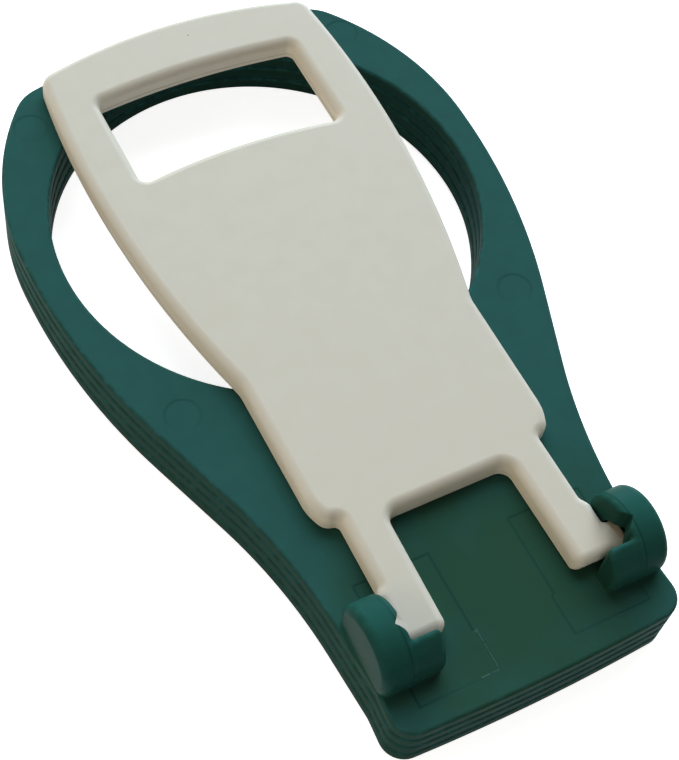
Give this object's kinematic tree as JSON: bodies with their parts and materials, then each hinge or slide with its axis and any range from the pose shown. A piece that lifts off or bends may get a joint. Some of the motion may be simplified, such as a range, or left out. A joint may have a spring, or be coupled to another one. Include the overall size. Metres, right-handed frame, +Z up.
{
  "type": "folding cup carrier",
  "caption": "Flat folding carrier: stacked ring plates fan out about one pivot to hold cups, and a windowed handle swings up between two hinge drums.",
  "frame": {"origin": "on the resting plane, under the middle of the folded carrier", "axes": "+X across the carrier along the handle's hinge line, +Y from the hinge to the cup holes, +Z up through the stack"},
  "size_m": [0.096, 0.1546, 0.024],
  "materials": {
    "green_plastic": "satin dark green moulding",
    "cream_plastic": "satin warm grey-white moulding",
    "zinc_steel": "bright zinc plate"
  },
  "bodies": {
    "top_plate": {"top_ring_plate": "green_plastic", "retaining_cap": "green_plastic", "pivot_screw": "zinc_steel"},
    "second_plate": {"second_ring_plate": "green_plastic"},
    "third_plate": {"third_ring_plate": "green_plastic"},
    "bottom_plate": {"bottom_ring_plate": "green_plastic"},
    "handle": {"handle": "cream_plastic"}
  },
  "joints": [
    {"name": "second_plate_swing", "type": "hinge", "parent": "top_plate", "child": "second_plate", "pos_m": [0, -0.06085, 0.0081], "axis": [0, 0, 1], "range_deg": [0, 90]},
    {"name": "third_plate_swing", "type": "hinge", "parent": "second_plate", "child": "third_plate", "pos_m": [0, -0.06085, 0.0048], "axis": [0, 0, 1], "range_deg": [0, 90]},
    {"name": "bottom_plate_swing", "type": "hinge", "parent": "third_plate", "child": "bottom_plate", "pos_m": [0, -0.06085, 0.0015], "axis": [0, 0, 1], "range_deg": [0, 90]},
    {"name": "handle_hinge", "type": "hinge", "parent": "top_plate", "child": "handle", "pos_m": [0, -0.06085, 0.0159], "axis": [1, 0, 0], "range_deg": [0, 106]}
  ]
}
